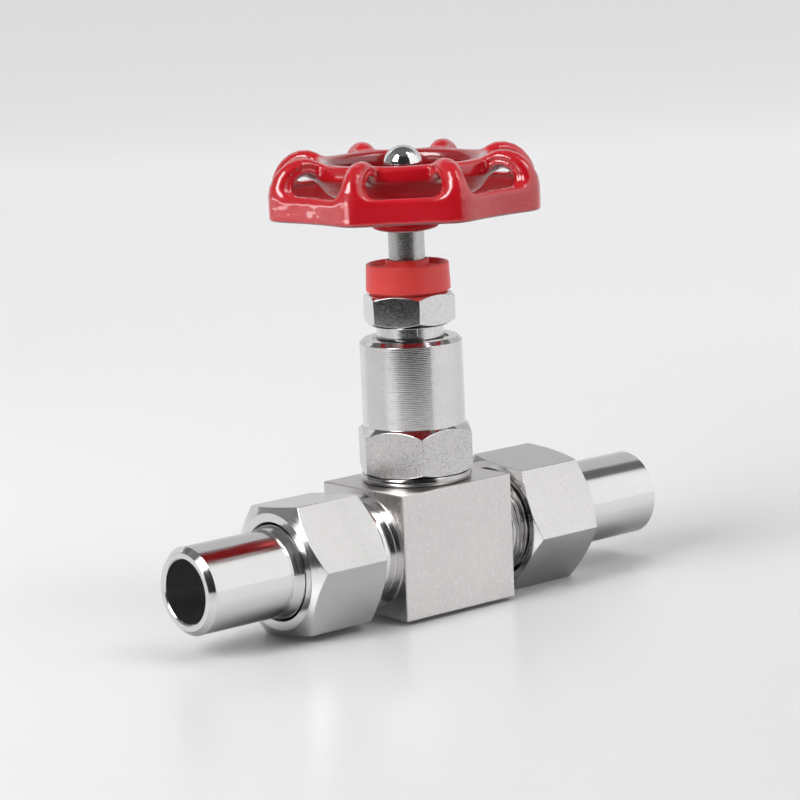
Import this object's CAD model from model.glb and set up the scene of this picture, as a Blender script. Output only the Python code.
"""Needle valve with a red handwheel, a union nut and a nipple at each end.

The line runs along X, and the stem stands on the Z axis, through the origin. The camera looks
from -X -Y, so +X is on its right. Piece sizes are in mm, with heights measured from the line
axis; lights, floor and materials are in metres.
"""
import math

import bmesh
import bpy
import numpy as np
from mathutils import Matrix, Vector


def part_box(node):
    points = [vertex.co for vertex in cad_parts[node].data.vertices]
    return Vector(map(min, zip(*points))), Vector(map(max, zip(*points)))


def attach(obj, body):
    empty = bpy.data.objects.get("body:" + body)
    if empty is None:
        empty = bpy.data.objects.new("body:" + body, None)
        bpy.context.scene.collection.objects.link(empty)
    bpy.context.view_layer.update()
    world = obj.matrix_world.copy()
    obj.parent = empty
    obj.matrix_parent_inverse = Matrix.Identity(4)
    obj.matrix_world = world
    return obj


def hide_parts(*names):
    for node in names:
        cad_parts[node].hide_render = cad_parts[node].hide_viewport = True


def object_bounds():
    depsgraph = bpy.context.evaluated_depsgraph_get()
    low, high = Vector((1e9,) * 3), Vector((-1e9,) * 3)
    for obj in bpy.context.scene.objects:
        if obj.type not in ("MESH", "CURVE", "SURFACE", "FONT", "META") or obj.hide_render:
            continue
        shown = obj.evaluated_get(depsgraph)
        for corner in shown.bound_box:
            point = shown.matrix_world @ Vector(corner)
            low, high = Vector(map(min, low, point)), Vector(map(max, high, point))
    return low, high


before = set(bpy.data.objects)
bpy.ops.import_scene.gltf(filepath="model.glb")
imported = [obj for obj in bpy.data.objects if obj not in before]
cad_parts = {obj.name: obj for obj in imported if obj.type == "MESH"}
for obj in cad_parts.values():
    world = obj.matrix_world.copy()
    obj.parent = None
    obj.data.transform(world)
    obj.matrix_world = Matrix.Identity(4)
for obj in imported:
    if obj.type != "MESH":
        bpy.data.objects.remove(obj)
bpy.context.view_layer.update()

MM = 0.001
body_low, body_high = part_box("valve_body")
LINE_Z = (body_low.z + body_high.z) / 2 / MM      # height of the line axis above Z = 0

BLOCK_X, BLOCK_Y, BLOCK_Z = 36.0, 31.0, 32.0      # size of the body block
BONNET_FINISH_Z = 30.36                           # the bonnet is bright turned above this
LOBES = 8                                         # lobes round the handwheel
LOBE_PITCH = 360 / LOBES
WHEEL_TURN = 27.4                                 # direction of one lobe, degrees
SQUARE_TURN = WHEEL_TURN - LOBE_PITCH / 2         # turn of the stem's square, degrees

# ------------------------------------------------------------------ placing
# Each piece is drawn along its own z; these put it on the stem or along the line.


def up(points):
    return np.stack([points[:, 0], points[:, 1], points[:, 2] + LINE_Z], 1)


def rightwards(points):
    return np.stack([points[:, 2], points[:, 1], -points[:, 0] + LINE_Z], 1)


def leftwards(points):
    return np.stack([-points[:, 2], points[:, 1], points[:, 0] + LINE_Z], 1)


# ------------------------------------------------------------------ mesh tools


def add_object(name, data):
    obj = bpy.data.objects.new(name, data)
    bpy.context.scene.collection.objects.link(obj)
    return obj


def shade_smooth(mesh):
    mesh.polygons.foreach_set("use_smooth", [True] * len(mesh.polygons))


def clean(obj, dist=2e-7):
    """Merge coincident vertices, drop slivers, turn all faces outwards."""
    work = bmesh.new()
    work.from_mesh(obj.data)
    bmesh.ops.remove_doubles(work, verts=work.verts, dist=dist)
    bmesh.ops.dissolve_degenerate(work, dist=dist, edges=work.edges)
    bmesh.ops.recalc_face_normals(work, faces=work.faces)
    if work.calc_volume(signed=True) < 0:
        bmesh.ops.reverse_faces(work, faces=work.faces)
    work.to_mesh(obj.data)
    work.free()
    obj.data.update()


def tidy_cut(obj, sharp_angle):
    """Clean a piece made by booleans; smooth shading stops at edges over sharp_angle."""
    clean(obj, 1e-6)
    shade_smooth(obj.data)
    work = bmesh.new()
    work.from_mesh(obj.data)
    limit = math.radians(sharp_angle)
    for edge in work.edges:
        if len(edge.link_faces) == 2:
            edge.smooth = edge.calc_face_angle(0) < limit
    work.to_mesh(obj.data)
    work.free()
    return obj


def mesh_object(name, verts, faces):
    mesh = bpy.data.meshes.new(name)
    mesh.from_pydata((np.asarray(verts, float) * MM).tolist(), [], faces)
    mesh.validate()
    obj = add_object(name, mesh)
    clean(obj)
    shade_smooth(mesh)
    return obj


def fillet_arc(before, corner, after, fillet, steps):
    """Points round one corner. A corner that can't be rounded is repeated instead, so
    that every column of a piece has as many points."""
    repeated = [tuple(corner)] * (steps + 1)
    back, ahead = before - corner, after - corner
    back_length, ahead_length = np.linalg.norm(back), np.linalg.norm(ahead)
    if min(back_length, ahead_length) < 1e-6:
        return repeated
    back, ahead = back / back_length, ahead / ahead_length
    angle = math.acos(float(np.clip(back @ ahead, -1, 1)))
    if angle > math.pi - 1e-3 or angle < 1e-3:
        return repeated
    trim = min(fillet / math.tan(angle / 2), 0.48 * back_length, 0.48 * ahead_length)
    radius = trim * math.tan(angle / 2)
    middle = (back + ahead) / np.linalg.norm(back + ahead)
    centre = corner + middle * radius / math.sin(angle / 2)
    start, end = corner + back * trim - centre, corner + ahead * trim - centre
    sweep = math.atan2(start[0] * end[1] - start[1] * end[0], start @ end)
    arc = []
    for k in range(steps + 1):
        cos, sin = math.cos(sweep * k / steps), math.sin(sweep * k / steps)
        x = start[0] * cos - start[1] * sin + centre[0]
        arc.append((max(x, 0.0), start[0] * sin + start[1] * cos + centre[1]))
    return arc


def rounded(points, closed, steps):
    """A profile of (radius, z) or (radius, z, fillet) points with its fillets drawn."""
    ends = () if closed else (0, len(points) - 1)
    out = []
    for i, point in enumerate(points):
        fillet = point[2] if len(point) > 2 else 0
        if i in ends or fillet <= 0:
            out.append((point[0], point[1]))
            continue
        trio = (points[i - 1], point, points[(i + 1) % len(points)])
        out += fillet_arc(*(np.array(p[:2], float) for p in trio), fillet, steps)
    return out


def column(points, angle):
    cos, sin = math.cos(angle), math.sin(angle)
    return [(radius * cos, radius * sin, z) for radius, z in points]


def grid_mesh(name, place, columns, closed):
    """Join columns of points round the axis; closed joins each column's last point to its first."""
    grid = np.asarray(columns, float)
    count, length = grid.shape[:2]
    faces = []
    for j in range(count):
        here, there = j * length, (j + 1) % count * length
        for i in range(length if closed else length - 1):
            k = (i + 1) % length
            faces.append((here + i, there + i, there + k, here + k))
    return mesh_object(name, place(grid.reshape(-1, 3)), faces)


def polar(name, place, profile, angles, steps=4):
    """A turned or many-sided piece; profile(angle) gives its (radius, z, fillet) points.
    A profile that starts and ends on the axis is left open there."""
    first = profile(angles[0])
    closed = not (first[0][0] == 0 and first[-1][0] == 0)
    columns = [column(rounded(profile(angle), closed, steps), angle) for angle in angles]
    return grid_mesh(name, place, columns, closed)


def circle_angles(count):
    return np.linspace(0, 2 * math.pi, count, endpoint=False)


def lathe(name, place, profile, count):
    return polar(name, place, lambda angle: profile, circle_angles(count))


def hexagon(corner, flats, edge, per_flat=22):
    """Angles dense at the corners, and a function for the rounded hexagon's radius.
    corner is one corner's direction in degrees, flats the width, edge the corner rounding."""
    half = flats / 2
    centre = (half - edge) / math.cos(math.pi / 6)
    tangent = math.atan2(edge * 0.5, centre + edge * math.cos(math.pi / 6))

    def radius(angle):
        off = (angle - math.radians(corner) + math.pi / 6) % (math.pi / 3) - math.pi / 6
        if abs(off) < tangent:
            return centre * math.cos(off) + math.sqrt(
                max(edge * edge - (centre * math.sin(off)) ** 2, 0))
        return half / math.cos(math.pi / 6 - abs(off))

    angles = []
    for k in range(6):
        base = math.radians(corner + 60 * k)
        angles += [base + tangent * share for share in (-1, -0.6, -0.2, 0.2, 0.6, 1)]
        flat = np.linspace(tangent, math.pi / 3 - tangent, per_flat + 2)[1:-1]
        angles += [base + turn for turn in flat]
    return sorted(angles), radius


def corner_slope(flats, face, drop):
    """Slope of a nut's chamfer that starts at radius face and drops by drop at the corners."""
    return drop / (flats / math.sqrt(3) - face)


def chamfer(rim, face, slope, gap=0.05, least=0.02):
    """Radius of a nut's end face, and the chamfer's drop, where the hexagon's radius is rim."""
    return min(face, rim - gap), max(rim - face, least) * slope


def threaded(name, place, before, span, after, crest, depth, pitch, count=96, step=0.15,
             lead=1.0, runout=1.2):
    """A turned piece whose profile runs before -> thread -> after. The thread fades in
    over lead and out over runout."""
    bottom, top = span
    heights = np.arange(bottom, top + 1e-6, step)
    heights[-1] = top
    fade = np.clip((heights - bottom) / lead, 0, 1) * np.clip((top - heights) / runout, 0, 1)
    columns = []
    for j in range(count):
        angle = 2 * math.pi * j / count
        phase = (heights / pitch - angle / (2 * math.pi)) % 1.0
        ridge = np.abs(phase - 0.5) * 2              # 1 at the crest, 0 at the root
        shape = np.clip((ridge - 0.16) / 0.68, 0, 1)
        thread = list(zip(crest - depth + depth * shape * fade, heights))
        head = rounded(before + thread[:1], False, 3)[:-1]
        tail = rounded(thread[-1:] + after, False, 3)[1:]
        columns.append(column(head + thread + tail, angle))
    return grid_mesh(name, place, columns, False)


def boolean(obj, other, operation):
    modifier = obj.modifiers.new("b", "BOOLEAN")
    modifier.operation = operation
    modifier.object = other
    modifier.solver = "MANIFOLD"
    with bpy.context.temp_override(object=obj, active_object=obj, selected_objects=[obj]):
        bpy.ops.object.modifier_apply(modifier=modifier.name)
    bpy.data.objects.remove(other)


def finish(obj, body, material, weighted=True):
    """Put a piece named <node>_fine in the place of the CAD piece <node>."""
    if weighted:
        modifier = obj.modifiers.new("weighted", "WEIGHTED_NORMAL")
        modifier.mode = "FACE_AREA"
        modifier.weight = 75
        modifier.keep_sharp = True
    obj.data.materials.clear()
    obj.data.materials.append(material)
    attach(obj, body)
    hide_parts(obj.name.removesuffix("_fine"))


def turned_piece(node, profile, body, material, count=96, place=up):
    finish(lathe(node + "_fine", place, profile, count), body, material)


# ------------------------------------------------------------------ node tools


class Nodes:
    """Node tree of a material or a world. Numbers, tuples and sockets are all taken as inputs."""

    def __init__(self, name, world=False):
        self.owner = (bpy.data.worlds if world else bpy.data.materials).new(name)
        self.owner.use_nodes = True
        self.tree = self.owner.node_tree
        self.shader = self.tree.nodes["Background" if world else "Principled BSDF"]
        source = self.new("ShaderNodeTexCoord")
        self.coords = source.outputs["Generated" if world else "Object"]
        self.normal = None

    def new(self, kind, **settings):
        node = self.tree.nodes.new(kind)
        for key, value in settings.items():
            setattr(node, key, value)
        return node

    def put(self, socket, value):
        if isinstance(value, (int, float, tuple)):
            socket.default_value = value
        else:
            self.tree.links.new(value, socket)

    def set(self, key, value):
        self.put(self.shader.inputs[key], value)

    def math(self, operation, *values, clamp=False):
        node = self.new("ShaderNodeMath", operation=operation, use_clamp=clamp)
        for i, value in enumerate(values):
            self.put(node.inputs[i], value)
        return node.outputs[0]

    def times(self, first, second, clamp=False):
        return self.math("MULTIPLY", first, second, clamp=clamp)

    def plus(self, first, second, clamp=False):
        return self.math("ADD", first, second, clamp=clamp)

    def fade(self, value, start, end):
        """0 up to start, 1 from end on."""
        width = end - start
        return self.math("MULTIPLY_ADD", value, 1 / width, -start / width, clamp=True)

    def unit(self, value):
        return self.math("MINIMUM", self.math("MAXIMUM", value, 0.0), 1.0)

    def span(self, value, low=0.0, high=1.0, start=0.3, end=0.7):
        """Runs from low to high as value goes from start to end."""
        node = self.new("ShaderNodeMapRange")
        for key, number in (("From Min", start), ("From Max", end), ("To Min", low),
                            ("To Max", high)):
            node.inputs[key].default_value = number
        self.put(node.inputs["Value"], value)
        return node.outputs[0]

    def vector(self, operation, first, second):
        node = self.new("ShaderNodeVectorMath", operation=operation)
        self.put(node.inputs[0], first)
        self.put(node.inputs[1], second)
        return node.outputs

    def xyz(self, vector=None):
        node = self.new("ShaderNodeSeparateXYZ")
        self.put(node.inputs[0], vector or self.coords)
        return node.outputs

    def line_xyz(self):
        """Coordinates with z measured from the line axis."""
        x, y, z = self.xyz()
        return x, y, self.math("SUBTRACT", z, LINE_Z * MM)

    def combine(self, *parts):
        node = self.new("ShaderNodeCombineXYZ")
        for i, part in enumerate(parts):
            self.put(node.inputs[i], part)
        return node.outputs[0]

    def radius(self, first, second):
        return self.math("SQRT", self.plus(self.times(first, first), self.times(second, second)))

    def along(self, x, y, direction):
        return self.plus(self.times(x, direction[0]), self.times(y, direction[1]))

    def noise(self, vector, detail=2, rough=0.5):
        node = self.new("ShaderNodeTexNoise")
        node.inputs["Scale"].default_value = 1.0
        node.inputs["Detail"].default_value = detail
        node.inputs["Roughness"].default_value = rough
        self.put(node.inputs["Vector"], vector)
        return node.outputs["Fac"]

    def mottle(self, scale, detail=2, rough=0.5, offset=(0, 0, 0)):
        """Noise over the piece; scale is per metre, one number or one for each axis."""
        node = self.new("ShaderNodeMapping")
        node.inputs["Scale"].default_value = scale if isinstance(scale, tuple) else (scale,) * 3
        node.inputs["Location"].default_value = offset
        self.put(node.inputs["Vector"], self.coords)
        return self.noise(node.outputs[0], detail, rough)

    def mix(self, share, first, second):
        node = self.new("ShaderNodeMix", data_type="RGBA")
        self.put(node.inputs["Factor"], share)
        for value, key in ((first, 6), (second, 7)):     # the colour sockets
            self.put(node.inputs[key], (*value, 1) if isinstance(value, tuple) else value)
        return node.outputs[2]

    def bump(self, height, depth):
        """Adds relief, depth in metres, on top of the relief so far."""
        node = self.new("ShaderNodeBump")
        node.inputs["Distance"].default_value = depth
        node.inputs["Strength"].default_value = 1.0
        self.put(node.inputs["Height"], height)
        if self.normal is not None:
            self.put(node.inputs["Normal"], self.normal)
        self.normal = node.outputs["Normal"]

    def geometry(self):
        return self.new("ShaderNodeNewGeometry").outputs

    def tool_marks(self, axis, fine, around=6.0, **noise):
        """Noise that varies quickly along the axis and across the radius, slowly round it."""
        if axis == "Z":
            first, second, along = self.xyz()
        else:
            along, first, second = self.line_xyz()
        radius = self.radius(first, second)
        sine = self.math("SINE", self.math("ARCTAN2", first, second))
        return self.noise(self.combine(self.times(along, fine), self.times(radius, fine),
                                       self.times(sine, around)), **noise)


class Steel(Nodes):
    """Stainless steel with slow cloudiness. Each method lays one more finish over the last;
    mask is 1 where the surface is bright turned, and plain is 1 elsewhere."""

    def __init__(self, name, base, rough, axis, spread=0.03, tint=0.03):
        super().__init__(name)
        self.axis = axis
        self.plain = 1.0
        cloud = self.mottle(55, detail=4, rough=0.6, offset=(3.1, 1.7, 0.4))
        low = tuple(max(c - tint, 0) for c in base)
        high = tuple(min(c + tint, 1) for c in base)
        self.colour = self.mix(self.span(cloud), low, high)
        self.roughness = self.span(cloud, rough - spread, rough + spread)

    def stain(self, share, colour):
        self.colour = self.mix(share, self.colour, colour)

    def darken(self, pattern, share, **limits):
        self.stain(self.span(pattern, **limits), self.mix(share, self.colour, (0, 0, 0)))

    def roughen(self, pattern, amount, clamp=False):
        self.roughness = self.plus(self.roughness, self.span(pattern, -amount, amount), clamp)

    def set_mask(self, mask):
        self.mask = self.unit(mask)
        self.plain = self.math("SUBTRACT", 1.0, self.mask)

    def mask_ends(self, above=None):
        """Faces that look along the axis, cones, and everything above a height."""
        axis = {"X": (1, 0, 0), "Z": (0, 0, 1)}[self.axis]
        facing = self.vector("DOT_PRODUCT", self.geometry()["Normal"], axis)["Value"]
        mask = self.span(self.math("ABSOLUTE", facing), start=0.10, end=0.22)
        if above is not None:
            mask = self.math("MAXIMUM", mask, self.math("GREATER_THAN", self.xyz()[2], above))
        self.set_mask(mask)

    def mask_beyond(self, distance):
        """Everything beyond a distance along the line."""
        self.set_mask(self.math("GREATER_THAN", self.math("ABSOLUTE", self.xyz()[0]), distance))

    def ripple(self, depth):
        self.bump(self.times(self.mottle(240, offset=(4, 4, 1)), self.plain), depth)

    def brush(self, scale):
        lines = self.mottle(scale, detail=3, rough=0.6)
        self.roughen(lines, amount=0.05)
        self.darken(lines, share=0.07)
        self.bump(self.times(lines, self.plain), depth=2.5e-6)

    def grain(self, depth, pits=0.0, scale=3400):
        """Fine specks; pits is how dark the pits among them are."""
        specks = self.mottle(scale, rough=0.7)
        if pits:
            holes = self.mottle(scale * 0.6, detail=1, offset=(9, 4, 2))
            dark = self.times(self.span(specks, start=0.50, end=0.66),
                              self.span(holes, start=0.42, end=0.60))
            dark = self.times(self.unit(dark), pits)
            self.stain(self.times(dark, self.plain), (0.10, 0.09, 0.09))
        self.roughen(specks, amount=0.05)
        self.bump(self.times(specks, self.plain), depth)

    def draw_lines(self, depth):
        """Long fine lines along the line axis, from drawing the tube."""
        lengthwise, around = 28.0, 42.0              # noise scales
        x, y, z = self.line_xyz()
        angle = self.math("ARCTAN2", y, z)
        lines = self.noise(self.combine(
            self.times(x, lengthwise), self.times(self.math("SINE", angle), around),
            self.times(self.math("COSINE", angle), around)), detail=3, rough=0.65)
        self.roughen(lines, amount=0.03)
        self.bump(lines, depth)

    def tool_all(self, fine, depth):
        """Tool marks all over."""
        marks = self.tool_marks(self.axis, fine)
        self.roughen(marks, amount=0.05)
        self.darken(marks, share=0.10, start=0.35, end=0.65)
        self.bump(marks, depth)

    def turn(self, rough, fine, depth, colour):
        """The bright turned finish, inside the mask."""
        marks = self.tool_marks(self.axis, fine)
        self.stain(self.mask, colour)
        self.roughness = self.plus(self.times(self.roughness, self.plain),
                                   self.times(self.mask, rough))
        swing = self.times(self.span(marks, low=-0.04, high=0.04), self.mask)
        self.roughness = self.plus(self.roughness, swing)
        self.bump(self.times(marks, self.mask), depth)

    def oil(self):
        """Thread roots and run-outs keep some dark oil."""
        distance = self.math("ABSOLUTE", self.xyz()[0])
        oily = self.fade(distance, start=0.0212, end=0.0224)
        self.stain(self.times(oily, 0.45), (0.12, 0.115, 0.11))

    def feed_marks(self, pitch, share, depth):
        """Rings of the last cut, in patches, and dark flecks, inside the mask."""
        drift = self.times(self.mottle((160, 160, 500), offset=(2, 2, 2)), 3.0)
        turns = self.math("MULTIPLY_ADD", self.xyz()[2], 2 * math.pi / pitch, drift)
        wave = self.math("MULTIPLY_ADD", self.math("SINE", turns), 0.5, 0.5)     # 0 to 1
        patch = self.span(self.mottle((130, 130, 220), offset=(5, 1, 8)),
                          low=0.25, high=1.0, start=0.35, end=0.62)
        dark = self.times(self.times(wave, patch), self.mask)
        self.stain(self.times(dark, share), (0.16, 0.15, 0.145))
        self.bump(self.times(wave, self.mask), depth)
        flecks = self.span(self.mottle(3000, rough=0.7, offset=(3, 3, 3)),
                           high=0.30, start=0.52, end=0.70)
        self.stain(self.times(flecks, self.mask), (0.2, 0.19, 0.18))

    def stretch_lights(self, amount):
        """Highlights drawn out across the tool marks, inside the mask."""
        tangent = self.new("ShaderNodeTangent", direction_type="RADIAL", axis=self.axis)
        self.set("Anisotropic", self.times(amount, self.mask))
        self.set("Anisotropic Rotation", 0.25)
        self.set("Tangent", tangent.outputs[0])

    def light_bore(self, strength, radius):
        """Light that finds its way down the open tube."""
        _, y, z = self.line_xyz()
        inside = self.math("LESS_THAN", self.radius(y, z), radius)
        rings = self.tool_marks("X", fine=2600.0, around=2.0, detail=3, rough=0.7)
        glow = self.span(rings, low=strength * 0.35, high=strength * 1.6)
        self.set("Emission Color", (1.0, 0.97, 0.96, 1))
        self.set("Emission Strength", self.times(inside, glow))

    def done(self):
        """Last fine variation and dull undersides; connects the shader."""
        fine = self.mottle(900, detail=3, rough=0.6)
        self.roughen(fine, amount=0.012, clamp=True)
        under = self.fade(self.xyz(self.geometry()["Normal"])[2], start=-1 / 11, end=-1)
        self.stain(self.times(under, 0.80), (0.05, 0.05, 0.05))
        self.set("Base Color", self.colour)
        self.set("Metallic", 1.0)
        self.set("Roughness", self.roughness)
        self.set("Normal", self.normal)
        return self.owner


# ------------------------------------------------------------------ materials


def body_steel():
    steel = Steel("steel_body", (0.725, 0.70, 0.692), rough=0.32, axis="X", tint=0.022)
    steel.mask_beyond((BLOCK_X / 2 + 0.1) * MM)
    steel.ripple(depth=14e-6)
    steel.brush(scale=(900, 900, 500))
    steel.grain(depth=1e-6, pits=0.10, scale=3000)
    steel.turn(rough=0.15, fine=1500.0, depth=4e-6, colour=(0.78, 0.77, 0.765))
    steel.oil()
    return steel.done()


def bonnet_steel():
    steel = Steel("steel_bonnet", (0.62, 0.605, 0.60), rough=0.25, axis="Z")
    steel.mask_ends(above=(BONNET_FINISH_Z + LINE_Z) * MM)
    steel.ripple(depth=10e-6)
    steel.grain(depth=3e-6, pits=0.75)
    steel.turn(rough=0.12, fine=1700.0, depth=6e-6, colour=(0.76, 0.745, 0.74))
    steel.feed_marks(pitch=0.00046, share=0.17, depth=3e-6)
    steel.stretch_lights(0.6)
    return steel.done()


def gland_steel():
    steel = Steel("steel_gland", (0.74, 0.74, 0.74), rough=0.12, axis="Z")
    steel.mask_ends()
    steel.grain(depth=2.5e-6, pits=0.5)
    steel.turn(rough=0.10, fine=1500.0, depth=2e-6, colour=(0.76, 0.76, 0.76))
    return steel.done()


def nut_steel():
    steel = Steel("steel_union_nut", (0.70, 0.69, 0.685), rough=0.21, axis="X")
    steel.mask_ends()
    steel.ripple(depth=16e-6)
    steel.grain(depth=1.6e-6, pits=0.22)
    steel.turn(rough=0.15, fine=1300.0, depth=2.5e-6, colour=(0.78, 0.775, 0.77))
    return steel.done()


def nipple_steel():
    steel = Steel("steel_nipple", (0.76, 0.755, 0.75), rough=0.11, axis="X", spread=0.025)
    steel.mask_ends()
    steel.draw_lines(depth=5e-6)
    steel.turn(rough=0.12, fine=1500.0, depth=2.5e-6, colour=(0.78, 0.775, 0.77))
    steel.light_bore(strength=0.008, radius=0.00812)
    return steel.done()


def tooled_steel(name, base, rough, spread, fine, depth, grain=None):
    steel = Steel(name, base, rough, axis="Z", spread=spread)
    if grain:
        steel.grain(depth=grain, scale=3200)
    steel.tool_all(fine, depth)
    return steel.done()


def enamel():
    mat = Nodes("red_enamel")
    slow = mat.mottle(60, detail=3, offset=(1, 5, 2))
    colour = mat.mix(mat.span(slow), (0.56, 0.002, 0.010), (0.66, 0.004, 0.016))
    mat.bump(mat.mottle(150, offset=(7, 3, 1)), depth=2.8e-4)
    mat.bump(mat.mottle(330, rough=0.4), depth=2.2e-5)
    # deeper in the dish and underneath, where the enamel lies thick and little light comes
    x, y, z = mat.xyz()
    radius = mat.radius(x, y)
    dish = mat.fade(radius, start=0.0225, end=0.019)
    surface = mat.geometry()
    under = mat.fade(mat.xyz(surface["Normal"])[2], start=-0.125, end=-0.75)
    deep = mat.math("MAXIMUM", mat.times(dish, 0.55), mat.times(under, 0.80))
    colour = mat.mix(deep, colour, (0.06, 0.002, 0.004))
    # sheltered faces, behind the arches and inside the skirt, took less lacquer
    outward = mat.xyz(mat.vector("MULTIPLY", surface["Normal"], surface["Position"])[0])
    outward = mat.math("DIVIDE", mat.plus(outward[0], outward[1]),
                       mat.math("MAXIMUM", radius, 0.001))
    behind = mat.times(mat.fade(outward, start=0.1, end=0.35),
                       mat.fade(radius, start=0.0238, end=0.0228))
    inside = mat.times(mat.fade(outward, start=-0.3, end=-0.55),
                       mat.fade(radius, start=0.0265, end=0.0285))
    low = mat.fade(z, start=0.1115, end=0.11)
    sheltered = mat.times(mat.plus(behind, mat.times(inside, 0.8)), low, clamp=True)
    mat.set("Base Color", mat.mix(mat.times(sheltered, 0.33), colour, (0.58, 0.003, 0.008)))
    mat.set("Roughness", mat.span(slow, low=0.24, high=0.34))
    mat.set("Coat Weight", mat.math("MULTIPLY_ADD", sheltered, -0.92, 1.0))
    mat.set("Coat Roughness", 0.045)
    mat.set("Coat IOR", 1.55)
    mat.set("Specular IOR Level", mat.math("MULTIPLY_ADD", sheltered, -0.42, 0.5))
    mat.set("Normal", mat.normal)
    mat.set("Coat Normal", mat.normal)
    return mat.owner


def plastic(name, base, rough):
    mat = Nodes(name)
    slow = mat.mottle(90, detail=3)
    mat.set("Base Color", mat.mix(mat.span(slow), tuple(c * 0.9 for c in base), base))
    mat.set("Roughness", mat.span(slow, rough - 0.05, rough + 0.05))
    mat.set("Subsurface Weight", 0.12)
    mat.set("Subsurface Radius", (0.003, 0.0008, 0.0006))
    mat.bump(mat.mottle(1500, rough=0.6), depth=4e-6)
    mat.set("Normal", mat.normal)
    return mat.owner


def chrome():
    mat = Nodes("chrome")
    slow = mat.mottle(200, detail=3)
    mat.set("Base Color", mat.mix(mat.span(slow), (0.82, 0.82, 0.83), (0.9, 0.9, 0.9)))
    mat.set("Metallic", 1.0)
    mat.set("Roughness", mat.span(slow, low=0.03, high=0.07))
    return mat.owner


STEEL_BODY = body_steel()
STEEL_BONNET = bonnet_steel()
STEEL_GASKET = tooled_steel("steel_gasket", (0.50, 0.49, 0.48), rough=0.14, spread=0.03,
                            fine=900, depth=2e-6)
STEEL_GLAND = gland_steel()
STEEL_STEM = tooled_steel("steel_stem", (0.56, 0.55, 0.545), rough=0.22, spread=0.05,
                          fine=2600, depth=4e-6, grain=1.5e-6)
STEEL_NUT = nut_steel()
STEEL_NIPPLE = nipple_steel()
STEEL_INNER = tooled_steel("steel_inner", (0.6, 0.59, 0.58), rough=0.3, spread=0.05,
                           fine=1500, depth=4e-6)
RED_ENAMEL = enamel()
RED_PLASTIC = plastic("red_plastic", (0.92, 0.075, 0.068), rough=0.38)
CHROME = chrome()
PACKING = plastic("packing", (0.8, 0.79, 0.76), rough=0.5)

# ------------------------------------------------------------------ body block
# All profiles are rows of (radius, z) or (radius, z, fillet).

STEM_BORE = [(0, 0), (3.3, 0), (3.3, 3.6), (3.7, 4), (7, 4), (7, 7), (10, 7), (10, 15.6),
             (10.5, 16.1), (10.5, 17), (0, 17)]
PASSAGE_START, PASSAGE_END = Vector((14.5, 0, -0.7)), Vector((4.6, 0, 7.2))
PASSAGE_RADIUS = 2.2


def line_bore(bottom):
    return [(0, bottom), (5, bottom), (5, 24), (7.6, 26), (7.6, 29.4), (12, 36), (12.4, 36.6),
            (0, 36.6)]


def neck(name, place):
    """Connection neck: faced ring on the block, plain run-out, then the thread."""
    return threaded(
        name, place,
        before=[(0, 10), (14.9, 10), (14.9, 18.35, 0.15), (12.5, 18.35, 0.35), (12.5, 20.6, 0.3)],
        span=(21.3, 35.6), after=[(12.0, 36.0, 0.1), (0, 36.0)],
        crest=13.2, depth=0.92, pitch=1.5, count=128, step=0.125, lead=0.9, runout=0.9)


def along_passage(points):
    turn = Vector((0, 0, 1)).rotation_difference(PASSAGE_END - PASSAGE_START)
    return up(np.array([list(turn @ Vector(point) + PASSAGE_START) for point in points]))


def valve_body():
    mesh = bpy.data.meshes.new("valve_body_fine")
    work = bmesh.new()
    bmesh.ops.create_cube(work, size=1.0)
    for vert in work.verts:
        x, y, z = vert.co
        vert.co = Vector((x * BLOCK_X, y * BLOCK_Y, z * BLOCK_Z + LINE_Z)) * MM
    bmesh.ops.bevel(work, geom=list(work.edges), offset=0.38 * MM, segments=3, affect="EDGES",
                    profile=0.6)
    work.to_mesh(mesh)
    work.free()
    obj = add_object("valve_body_fine", mesh)
    boolean(obj, neck("neck_l", leftwards), "UNION")
    boolean(obj, neck("neck_r", rightwards), "UNION")
    length = (PASSAGE_END - PASSAGE_START).length
    passage = [(0, 0), (PASSAGE_RADIUS, 0), (PASSAGE_RADIUS, length), (0, length)]
    for place, profile, count in (
            (leftwards, line_bore(-3.5), 96), (rightwards, line_bore(9.5), 96),
            (up, STEM_BORE, 96), (along_passage, passage, 48)):
        boolean(obj, lathe("cut", place, profile, count), "DIFFERENCE")
    return tidy_cut(obj, sharp_angle=40)


finish(valve_body(), "valve", STEEL_BODY)

# ------------------------------------------------------------------ unions

NIPPLE = [
    (8.0, 31.9, 0.1), (8.75, 31.9, 0.15), (11.68, 36.3, 0.2), (11.68, 36.5), (13.1, 36.5, 0.15),
    (13.1, 40.7, 0.15), (11.9, 40.7), (11.9, 46.9, 0.6), (10.98, 49.6, 1.2), (10.98, 73.1, 0.18),
    (9.65, 74.48, 0.18), (8.35, 74.48, 0.12), (8.0, 74.2, 0.12)]


def union_nut(name, place, corner):
    flats = 32.0
    inner_face, inner_z = 16.2, 24.8                 # face towards the block
    outer_face, outer_z = 14.65, 47.0
    angles, radius = hexagon(corner, flats, edge=0.35)
    inner_slope = corner_slope(flats, inner_face, drop=1.3)
    outer_slope = corner_slope(flats, outer_face, drop=2.2)

    def profile(angle):
        rim = radius(angle)
        inner, inner_drop = chamfer(rim, inner_face, inner_slope)
        outer, outer_drop = chamfer(rim, outer_face, outer_slope)
        return [(13.55, 41.0), (13.55, 25.9, 0.2), (14.4, inner_z, 0.15), (inner, inner_z, 0.15),
                (rim, inner_z + inner_drop, 0.2), (rim, outer_z - outer_drop, 0.2),
                (outer, outer_z, 0.15), (12.5, outer_z, 0.15), (12.25, 46.75, 0.1),
                (12.25, 41.0, 0.1)]

    return polar(name, place, profile, angles)


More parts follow.
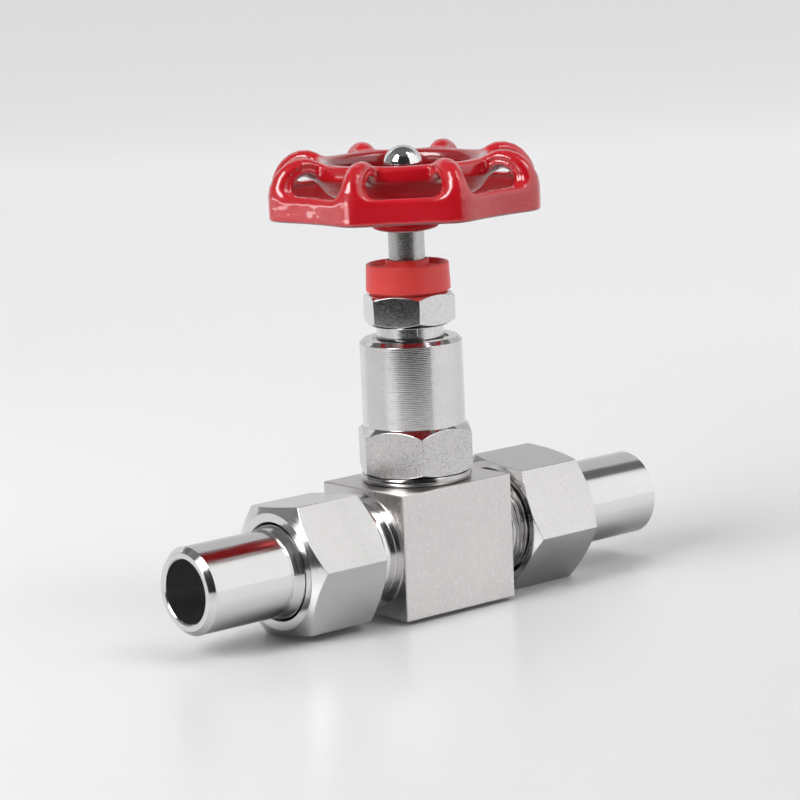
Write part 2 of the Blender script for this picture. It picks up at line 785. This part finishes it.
SIDES = (("left", leftwards, -90 + 5.8), ("right", rightwards, -90 + 7.1))
for side, place, corner in SIDES:
    finish(union_nut(f"union_nut_{side}_fine", place, corner), side + "_union",
           STEEL_NUT)
for side, place, _ in SIDES:
    turned_piece("nipple_" + side, NIPPLE, side + "_nipple", STEEL_NIPPLE,
                 count=160, place=place)

# ------------------------------------------------------------------ bonnet

GASKET = [(10.2, 16.02, 0.1), (13.7, 16.02, 0.5), (14.1, 17.0, 0.9), (13.75, 18.18, 0.5),
          (10.2, 18.18, 0.1)]


def bonnet():
    flats = 27.0
    low_face, low_z = 13.8, 18.3                     # underside of the hexagon
    barrel = 13.0                                    # radius above the hexagon
    angles, radius = hexagon(-3.35, flats, edge=0.3, per_flat=20)
    low_slope = corner_slope(flats, low_face, drop=1.0)
    high_slope = corner_slope(flats, barrel, drop=2.0)

    def profile(angle):
        rim = radius(angle)
        low, low_drop = chamfer(rim, low_face, low_slope)
        _, high_drop = chamfer(rim, barrel, high_slope)
        return [(6.2, 7.5, 0.1), (8.9, 7.5, 0.1), (9.7, 8.3, 0.1), (9.7, low_z, 0.2),
                (low, low_z, 0.15), (rim, low_z + low_drop, 0.2), (rim, 30.3 - high_drop, 0.2),
                (barrel, 30.35, 0.12), (barrel, 51.25, 0.15), (11.95, 52.3, 0.2),
                (9.8, 52.3, 0.15), (9.6, 52.1, 0.1), (9.6, 51.3, 0.1), (8.8, 50.8, 0.1),
                (8.8, 44.0, 0.1), (7.2, 44.0, 0.1), (7.2, 34.0, 0.1), (5.0, 34.0, 0.1),
                (5.0, 31.2, 0.1), (6.2, 30.0, 0.1)]

    return polar("bonnet_fine", up, profile, angles)


finish(bonnet(), "valve", STEEL_BONNET)
turned_piece("bonnet_gasket", GASKET, "valve", STEEL_GASKET, count=160)

# ------------------------------------------------------------------ gland, cap and packing

DUST_CAP = [
    (4.95, 67.5, 0.1), (4.95, 72.0, 0.15), (5.4, 72.0, 0.15), (5.55, 69.9, 0.4), (9.2, 69.9, 0.4),
    (9.55, 71.1, 0.25), (10.45, 71.1, 0.4), (10.7, 64.3, 0.25), (9.9, 64.05, 0.12),
    (9.75, 63.66, 0.1), (7.8, 63.66, 0.1), (7.8, 67.5, 0.2)]
FOLLOWER = [(4.9, 41.2, 0.2), (6.9, 41.2, 0.2), (6.9, 44.5, 0.1), (8.4, 44.5, 0.2),
            (8.4, 46.6, 0.2), (4.9, 46.6, 0.2)]
BASE_RING = [(4.9, 34.2, 0.1), (7.0, 34.2, 0.15), (7.0, 36.2, 0.15), (4.9, 36.2, 0.1)]
PACKING_Z, PACKING_PITCH, PACKING_HEIGHT = 36.4, 1.6, 1.4


def gland_nut():
    flats = 21.0
    low_face, low_z = 9.8, 55.55
    high_face, high_z = 10.45, 63.6
    angles, radius = hexagon(1.84, flats, edge=0.25, per_flat=18)
    low_slope = corner_slope(flats, low_face, drop=1.35)
    high_slope = corner_slope(flats, high_face, drop=0.96)

    def profile(angle):
        rim = radius(angle)
        low, low_drop = chamfer(rim, low_face, low_slope)
        high, high_drop = chamfer(rim, high_face, high_slope)
        return [(5.0, 46.9, 0.1), (8.0, 46.9, 0.1), (8.5, 47.4, 0.1), (8.5, low_z, 0.3),
                (low, low_z, 0.12), (rim, low_z + low_drop, 0.18),
                (rim, high_z - high_drop, 0.18), (high, high_z, 0.12), (7.5, high_z, 0.1),
                (7.5, 66.7, 0.1), (7.0, 67.2, 0.1), (5.0, 67.2, 0.1)]

    return polar("gland_nut_fine", up, profile, angles)


finish(gland_nut(), "gland", STEEL_GLAND)
turned_piece("dust_cap", DUST_CAP, "gland", RED_PLASTIC, count=160)
turned_piece("gland_follower", FOLLOWER, "follower", STEEL_INNER)
turned_piece("packing_base_ring", BASE_RING, "valve", STEEL_INNER)
for i, where in enumerate(("lower", "middle", "upper")):
    z = PACKING_Z + PACKING_PITCH * i
    top = z + PACKING_HEIGHT
    turned_piece("packing_ring_" + where,
                 [(4.85, z, 0.3), (7.0, z, 0.3), (7.0, top, 0.3), (4.85, top, 0.3)],
                 "valve", PACKING)

# ------------------------------------------------------------------ stem and needle

CONE_SLOPE = math.tan(math.radians(30))              # radius gained per height
CONE_RADIUS, CONE_Z = 3.3, 7.2                       # a point on the needle's cone
PLUG_RADIUS, TIP_RADIUS = 5.0, 0.7
shoulder_z = CONE_Z + (PLUG_RADIUS - CONE_RADIUS) / CONE_SLOPE
tip_z = CONE_Z - (CONE_RADIUS - TIP_RADIUS) / CONE_SLOPE
NEEDLE = [
    (0, tip_z - 0.3), (TIP_RADIUS, tip_z, 0.1), (PLUG_RADIUS, shoulder_z, 0.2),
    (PLUG_RADIUS, 10.7, 0.15), (2.4, 10.7, 0.1), (2.4, 13.2), (1.9, 13.2), (1.9, 14.8),
    (2.4, 14.8), (2.4, 16.0, 0.1), (2.0, 16.4, 0.1), (0, 16.4)]
RETAINING_RING = [(2.15, 13.5, 0.1), (3.9, 13.5, 0.15), (3.9, 14.5, 0.15), (2.15, 14.5, 0.1)]


def square_profile(angle):
    """The stem's square, with its corners turned down."""
    half_width, corner_radius = 3.2, 4.4
    off = (angle - math.radians(SQUARE_TURN)) % (math.pi / 2)
    off = min(off, math.pi / 2 - off)
    rim = min(half_width / math.cos(off), corner_radius)
    return [(0, 80), (rim, 80), (rim, 86.5, 0.1), (rim - 0.3, 86.8, 0.1), (0, 86.8)]


def stem():
    obj = threaded(
        "stem_fine", up,
        before=[(0, 17.0), (3.4, 16.6, 0.1), (3.4, 14.8), (4.2, 14.8), (4.2, 13.2), (3.4, 13.2),
                (3.4, 11.0, 0.1), (4.9, 11.0, 0.1)],
        span=(11.6, 25.3), after=[(4.6, 26.0, 0.2), (4.6, 81.9, 0.15), (0, 82.0)],
        crest=5.9, depth=0.9, pitch=1.5)
    boolean(obj, polar("square", up, square_profile, circle_angles(96), steps=2), "UNION")
    tip = threaded(
        "tip", up, before=[(0, 85), (2.5, 85)], span=(86.0, 95.8),
        after=[(2.3, 96.5, 0.1), (0, 96.5)],
        crest=2.95, depth=0.5, pitch=1.0, count=64, step=0.12, lead=0.6, runout=0.6)
    boolean(obj, tip, "UNION")
    return tidy_cut(obj, sharp_angle=35)


finish(stem(), "spindle", STEEL_STEM)
turned_piece("needle_plug", NEEDLE, "needle", STEEL_STEM)
turned_piece("needle_retaining_ring", RETAINING_RING, "needle", STEEL_STEM, count=64)

# ------------------------------------------------------------------ handwheel
# Drawn as a distance field, negative inside, and meshed on a grid.

WHEEL_RADIUS, SIDE_RADIUS = 35.9, 32.7               # at the lobes and between them
PLAIN_RADIUS = 23.0                                  # inside this the lobes have no effect
GRID = 0.42
# middle lines of the sheets, as (radius, z)
SKIRT = [(34.35, 80), (34.35, 90.4), (34.0, 92.4), (33.15, 94.3), (31.8, 95.9), (30.0, 97.15),
         (27.9, 97.85), (25.8, 97.9), (24.0, 97.3), (22.4, 96.2), (21.0, 95.1)]
ARCHES = [(32.8, 91.4), (32.5, 92.2), (31.8, 93.6), (30.7, 94.9), (29.2, 95.8), (27.7, 96.3),
          (25.9, 96.4), (24.7, 95.8), (22.9, 95.0)]
DISH = [(20.6, 94.6), (20.2, 92.6), (18.6, 90.6), (14.2, 87.9), (9.8, 86.0), (5.5, 85.6)]
SKIRT_HALF, ARCHES_HALF, DISH_HALF = 1.55, 1.65, 1.35    # half thicknesses


def surface_nets(field, origin, pitch):
    """Quads of the zero surface of a sampled field, one vertex per crossed cell."""
    inside = field < 0
    size = [n - 1 for n in field.shape]
    corners = [(i, j, k) for i in (0, 1) for j in (0, 1) for k in (0, 1)]
    count = sum(inside[i:size[0] + i, j:size[1] + j, k:size[2] + k].astype(np.int8)
                for i, j, k in corners)
    active = (count > 0) & (count < 8)
    ids = -np.ones(active.shape, np.int64)
    cells = np.argwhere(active)
    ids[active] = np.arange(len(cells))
    total = np.zeros((len(cells), 3))
    hits = np.zeros(len(cells))
    for start in corners:
        for axis in range(3):
            if start[axis]:
                continue
            end = list(start)
            end[axis] = 1
            first, second = (field[tuple((cells + corner).T)] for corner in (start, end))
            cross = (first < 0) != (second < 0)
            gap = np.where(np.abs(first - second) < 1e-12, 1, first - second)
            points = np.tile(np.array(start, float), (len(cells), 1))
            points[:, axis] = np.where(cross, first / gap, 0)
            total += np.where(cross[:, None], points, 0)
            hits += cross
    verts = (cells + total / hits[:, None]) * pitch + np.array(origin)

    quads = []
    for axis in range(3):
        across = [(1, 2), (2, 0), (0, 1)][axis]
        low = [slice(1, -1)] * 3
        high = [slice(1, -1)] * 3
        low[axis], high[axis] = slice(0, -1), slice(1, None)
        base = np.argwhere(inside[tuple(low)] != inside[tuple(high)])
        base[:, across] += 1
        ring = []
        for steps in ((-1, -1), (0, -1), (0, 0), (-1, 0)):
            cell = base.copy()
            cell[:, across] += steps
            ring.append(ids[tuple(cell.T)])
        quad = np.stack(ring, 1)
        flip = ~inside[tuple(base.T)]
        quad[flip] = quad[flip][:, ::-1]
        quads.append(quad)
    return verts, np.concatenate(quads)


def outline(degrees):
    """Outer radius of the lobed wheel at each direction."""
    soft = 5.0                                       # degrees that round each lobe's peak
    off = (degrees - WHEEL_TURN) % LOBE_PITCH
    off = np.where(off > LOBE_PITCH / 2, off - LOBE_PITCH, off)
    half = LOBE_PITCH / 2

    def share(angle):
        return 1 - (angle / half) ** 2

    inner = half - soft
    flat = ((WHEEL_RADIUS - share(inner) * SIDE_RADIUS)
            / (1 / math.cos(math.radians(inner)) - share(inner)))
    angle = half - np.hypot(off, soft)
    return flat / np.cos(np.radians(angle)) - (flat - SIDE_RADIUS) * share(angle)


def join(first, second, blend):
    """Union of two fields with a soft seam."""
    near = np.maximum(blend - np.abs(first - second), 0) / blend
    return np.minimum(first, second) - near * near * blend / 4


def common(first, second, blend):
    """Intersection of two fields with a soft seam."""
    return -join(-first, -second, blend)


def polyline_distance(radius, z, points):
    best = np.full(radius.shape, 1e9, np.float32)
    for (start_r, start_z), (end_r, end_z) in zip(points[:-1], points[1:]):
        run, rise = end_r - start_r, end_z - start_z
        along = ((radius - start_r) * run + (z - start_z) * rise) / (run * run + rise * rise)
        along = np.clip(along, 0, 1)
        best = np.minimum(best, np.hypot(radius - start_r - along * run,
                                         z - start_z - along * rise))
    return best


def lobed_sheet(x, y, z, radius):
    """Skirt and arches: one bent sheet, then a window out of it in each lobe pitch."""
    degrees = np.degrees(np.arctan2(y, x))
    inset = (WHEEL_RADIUS - outline(degrees)).astype(np.float32)
    reach = WHEEL_RADIUS - PLAIN_RADIUS
    # radius with the lobes taken out, so that the outline comes to WHEEL_RADIUS all round
    even = np.where(radius > PLAIN_RADIUS,
                    (radius - PLAIN_RADIUS * inset / reach) / (1 - inset / reach), radius)
    even = np.where(even > WHEEL_RADIUS, radius + inset, even)
    sheet = join(polyline_distance(even, z, SKIRT) - SKIRT_HALF,
                 polyline_distance(even, z, ARCHES) - ARCHES_HALF, 0.7)
    off = np.radians((degrees - WHEEL_TURN) % LOBE_PITCH - LOBE_PITCH / 2)
    out, aside = radius * np.cos(off), radius * np.sin(off)
    # the window widens outwards: half width 6.55 at PLAIN_RADIUS, 0.368 more per mm
    window = (np.abs(aside) - (6.55 + (out - PLAIN_RADIUS) * 0.368)) * 0.938
    window = common(window, 90.8 - z, 3.2)           # bottom edge
    window = common(window, 22.0 - out, 0.8)         # inner edge
    sheet = common(sheet, -window, np.clip(1.5 + (z - 91.5) * 0.55, 1.5, 3.4))
    return common(sheet, 84.3 - z, 0.9)              # bottom of the skirt


def landing_ring(radius, z):
    """Rounded ring that the arches land on."""
    past_r, past_z = np.abs(radius - 21.0) - 0.7, np.abs(z - 95.25) - 0.75
    return (np.hypot(np.maximum(past_r, 0), np.maximum(past_z, 0))
            + np.minimum(np.maximum(past_r, past_z), 0) - 1.25)


def hub(radius, z):
    shape = np.maximum(radius - 8.4, z - 87.1)
    shape = common(shape, 79.0 - z, 1.0)
    return common(shape, (radius - 8.0) * 0.30 + (79.9 - z) * 0.954, 0.6)


def handwheel():
    side = np.arange(-37.2, 37.2, GRID, dtype=np.float32)
    heights = np.arange(78.0, 101.2, GRID, dtype=np.float32)
    x, y, z = np.meshgrid(side, side, heights, indexing="ij")
    radius = np.hypot(x, y)
    wheel = join(lobed_sheet(x, y, z, radius), landing_ring(radius, z), 1.6)
    wheel = join(wheel, polyline_distance(radius, z, DISH) - DISH_HALF, 1.8)
    wheel = join(wheel, hub(radius, z), 1.4)
    # round bore for the stem, then the square hole
    wheel = common(wheel, -np.maximum(radius - 4.85, z - 82.3), 0.3)
    turn = math.radians(SQUARE_TURN)
    cos, sin = math.cos(turn), math.sin(turn)
    square = np.maximum(np.abs(x * cos + y * sin), np.abs(-x * sin + y * cos)) - 3.5
    wheel = common(wheel, -square, 0.2)
    verts, quads = surface_nets(wheel, (side[0], side[0], heights[0]), GRID)
    return mesh_object("handwheel_fine", up(verts), quads.tolist())


wheel_object = handwheel()
finish(wheel_object, "spindle", RED_ENAMEL, weighted=False)

# ------------------------------------------------------------------ washer and cap nut

WASHER = [(3.2, 87.2, 0.1), (6.0, 87.2, 0.2), (6.0, 88.2, 0.2), (3.2, 88.2, 0.1)]
DOME_RADIUS, DOME_Z = 4.93, 95.75


def cap_nut():
    low_z, high_z = 88.3, 93.3
    angles, radius = hexagon(12, flats=10.0, edge=0.15, per_flat=12)
    dome = [(DOME_RADIUS * math.cos(turn), DOME_Z + DOME_RADIUS * math.sin(turn))
            for turn in np.linspace(0, math.pi / 2, 24)]
    dome[-1] = (0, dome[-1][1])

    def profile(angle):
        rim = radius(angle)
        low, low_drop = chamfer(rim, face=5.0, slope=0.5, gap=0.03, least=0.01)
        high, high_drop = chamfer(rim, face=4.9, slope=0.5, gap=0.03, least=0.01)
        return [(0, 97.6), (3.15, 96.8), (3.15, 88.6, 0.1), (3.4, low_z, 0.05),
                (low, low_z, 0.1), (rim, low_z + low_drop, 0.12),
                (rim, high_z - high_drop, 0.12), (high, high_z, 0.1), (4.75, 93.6, 0.1)] + dome

    return polar("cap_nut_fine", up, profile, angles, steps=3)


turned_piece("handwheel_washer", WASHER, "spindle", CHROME)
finish(cap_nut(), "spindle", CHROME)

# ------------------------------------------------------------------ camera

floor_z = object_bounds()[0][2]

AZIMUTH, ELEVATION, ROLL = (math.radians(angle) for angle in (-39.856, 10.05, 2.606))
back = Vector((math.sin(AZIMUTH) * math.cos(ELEVATION),
               -math.cos(AZIMUTH) * math.cos(ELEVATION), math.sin(ELEVATION)))
VIEW_ANGLE = math.atan2(back.y, back.x)              # from the object to the camera


def add_camera():
    right = Vector((math.cos(AZIMUTH), math.sin(AZIMUTH), 0))
    above = back.cross(right)
    eye = back * 833.7 + right * -3.375 + above * 35.532
    eye.z += LINE_Z
    rolled_right = right * math.cos(ROLL) - above * math.sin(ROLL)
    rolled_up = right * math.sin(ROLL) + above * math.cos(ROLL)
    data = bpy.data.cameras.new("camera")
    camera = add_object("camera", data)
    rows = [(rolled_right[i], rolled_up[i], back[i], eye[i] * MM) for i in range(3)]
    camera.matrix_world = Matrix((*rows, (0, 0, 0, 1)))
    data.lens = 147.2895
    data.sensor_width = 36
    data.clip_start = 0.01
    data.clip_end = 50
    bpy.context.scene.camera = camera


add_camera()

# ------------------------------------------------------------------ floor

FLOOR_FRONT, FLOOR_BACK = 0.352, 1.1                 # reach from the object
SWEEP_RADIUS, WALL_TOP, HALF_WIDTH = 0.8, 2.4, 2.4
FLOOR_GLOW, BACKDROP_GLOW = 0.03, 0.445
away = Vector((-back.x, -back.y, 0)).normalized()    # level, away from the camera
leftward = Vector((-away.y, away.x, 0))              # level, to the camera's left


def floor_paper():
    mat = Nodes("floor_paper")
    slow = mat.mottle(3, detail=3)
    x, y, z = mat.xyz()
    depth = mat.plus(mat.along(x, y, away), mat.times(z, 0.5))
    far = mat.span(depth, start=0.25, end=1.1)
    left = mat.along(x, y, leftward)
    near = mat.span(depth, low=1, high=0, start=0.05, end=0.45)
    # near the object the paper is lighter on the left
    tilt = mat.times(mat.times(left, 1 / 0.20), near)
    paper = mat.mix(mat.plus(tilt, 0.42, clamp=True), (0.755, 0.755, 0.765), (0.89, 0.89, 0.895))
    paper = mat.mix(mat.span(slow, high=0.03), paper, (1.0, 1.0, 1.0))
    mat.set("Base Color", mat.mix(far, paper, (0.25, 0.25, 0.255)))
    mat.set("Roughness", 0.30)
    mat.set("Specular IOR Level", 0.35)
    mat.set("Emission Color", (0.95, 0.95, 0.96, 1))
    mat.set("Emission Strength",
            mat.math("MULTIPLY_ADD", far, BACKDROP_GLOW - FLOOR_GLOW, FLOOR_GLOW))
    return mat.owner


def floor():
    """Floor that sweeps up into a backdrop behind the object, and ends in front of it."""
    profile = [(-FLOOR_FRONT, 0.0), (0.0, 0.0), (FLOOR_BACK, 0.0)]
    for k in range(1, 17):
        turn = k / 16 * math.pi / 2
        profile.append((FLOOR_BACK + SWEEP_RADIUS * math.sin(turn),
                        SWEEP_RADIUS - SWEEP_RADIUS * math.cos(turn)))
    profile.append((FLOOR_BACK + SWEEP_RADIUS, WALL_TOP))
    verts = []
    for distance, height in profile:
        for offset in (-HALF_WIDTH, HALF_WIDTH):
            point = away * distance + leftward * offset
            verts.append((point.x, point.y, height + floor_z))
    faces = [(2 * i, 2 * i + 1, 2 * i + 3, 2 * i + 2) for i in range(len(profile) - 1)]
    mesh = bpy.data.meshes.new("floor")
    mesh.from_pydata(verts, [], faces)
    shade_smooth(mesh)
    obj = add_object("floor", mesh)
    mesh.materials.append(floor_paper())


floor()

# ------------------------------------------------------------------ lights


def softbox(name, angle, distance, height, width, tall, power, aim_z):
    """Area light aimed at the stem axis; angle is in degrees to the right of the camera."""
    data = bpy.data.lights.new(name, "AREA")
    data.shape = "RECTANGLE"
    data.size = width
    data.size_y = tall
    data.energy = power
    light = add_object(name, data)
    turn = VIEW_ANGLE + math.radians(angle)
    light.location = Vector((math.cos(turn) * distance, math.sin(turn) * distance, height))
    aim = Vector((0, 0, aim_z)) - light.location
    light.rotation_euler = aim.to_track_quat("-Z", "Y").to_euler()
    return light


overhead = softbox("overhead", angle=170, distance=0.25, height=1.3, width=0.9, tall=0.9,
                   power=4.0, aim_z=0)
overhead.visible_glossy = False

# Two lights seen by the handwheel alone: a low strip on the left for the broken lights on its
# skirt, and an upright one for the soft lights down its front posts.
receivers = bpy.data.collections.new("strip_receivers")
receivers.objects.link(wheel_object)
for light in (
        softbox("strip", angle=-72, distance=0.5, height=0.076, width=0.62, tall=0.034,
                power=0.31, aim_z=0.076),
        softbox("upright", angle=-52, distance=0.5, height=0.085, width=0.20, tall=0.19,
                power=0.42, aim_z=0.085)):
    light.visible_camera = False
    light.visible_diffuse = False
    light.light_linking.receiver_collection = receivers

# ------------------------------------------------------------------ studio
# Dark towards the camera, a softbox each side, light behind, grey ceiling.

# (degrees to the right of the camera, brightness)
WALLS = [(-180, 0.85), (-148, 0.80), (-128, 0.38), (-84, 0.30), (-70, 0.10), (-30, 0.06),
         (-25, 0.045), (0, 0.03), (42, 0.05), (44.5, 1.0), (100, 1.0), (132, 0.85), (180, 0.85)]
WALL_GAIN = [(-180, 0.8), (40, 0.8), (46, 1.15), (100, 1.1), (140, 0.8)]
# brightness, then degrees: left, right, bottom, top, soft edge
LEFT_CORE = (1.2, -72, -30, 18, 58, 2.5)
RIGHT_CORE = (4.5, 56, 84, 44, 70, 2.5)
HOT_LEFT_CORE = (9.5, -62, -34, 22, 58, 1.5)


class Studio(Nodes):
    def __init__(self):
        super().__init__("studio", world=True)
        x, y, self.height = self.xyz()
        cos, sin = math.cos(VIEW_ANGLE), math.sin(VIEW_ANGLE)
        self.toward = self.along(x, y, (cos, sin))
        angle = self.math("ARCTAN2", self.along(x, y, (-sin, cos)), self.toward)
        # share of a full turn: 0.5 at the camera, growing to the right
        self.turn = self.plus(self.times(angle, 1 / (2 * math.pi)), 0.5)

    def band(self, stops):
        node = self.new("ShaderNodeValToRGB")
        elements = node.color_ramp.elements
        while len(elements) < len(stops):
            elements.new(0.5)
        for element, (degrees, value) in zip(elements, stops):
            element.position = 0.5 + degrees / 360
            element.color = (value, value, value, 1)
        self.put(node.inputs["Fac"], self.turn)
        return node.outputs["Color"]

    def core(self, brightness, left, right, bottom, top, soft):
        """A bright soft-edged rectangle of the sky."""
        azimuth = self.math("SUBTRACT", self.times(self.turn, 360.0), 180.0)
        elevation = self.times(self.math("ARCSINE", self.height), 180 / math.pi)
        across, upward = (
            self.times(self.fade(value, low, low + soft), self.fade(value, high, high - soft))
            for value, low, high in ((azimuth, left, right), (elevation, bottom, top)))
        return self.times(self.times(across, upward), brightness)

    def clipped(self, value):
        return self.math("MAXIMUM", self.math("MINIMUM", value, 1.0), 0.0)

    def build(self):
        walls = self.band(WALLS)
        walls = self.mix(1.0, walls, walls)
        walls = self.vector("MULTIPLY", walls, self.band(WALL_GAIN))[0]
        cores = self.plus(self.core(*LEFT_CORE), self.core(*RIGHT_CORE))
        cores = self.plus(cores, self.core(*HOT_LEFT_CORE))
        # the walls behind the object darken high up
        high_up = self.fade(self.height, start=0.42, end=0.67)
        behind = self.math("LESS_THAN", self.toward, -0.25)
        walls = self.mix(self.times(high_up, behind), walls, (0.16, 0.155, 0.155))
        ceiling = self.clipped(self.span(self.height, start=0.72, end=0.86))
        sky = self.mix(ceiling, walls, (0.15, 0.148, 0.15))
        # dark below the horizon on the camera's side
        below = self.clipped(self.span(self.height, low=1, high=0, start=-0.16, end=-0.02))
        below = self.times(below, self.math("GREATER_THAN", self.toward, 0.0))
        sky = self.mix(below, sky, (0.03, 0.03, 0.03))
        lit = self.vector("ADD", sky, cores)[0]
        seen = self.new("ShaderNodeLightPath").outputs["Is Camera Ray"]
        self.set("Color", self.mix(seen, lit, (0.88, 0.88, 0.885)))
        self.set("Strength", 0.93)
        bpy.context.scene.world = self.owner


Studio().build()

bpy.context.scene.view_settings.view_transform = "Standard"
bpy.context.scene.view_settings.look = "None"
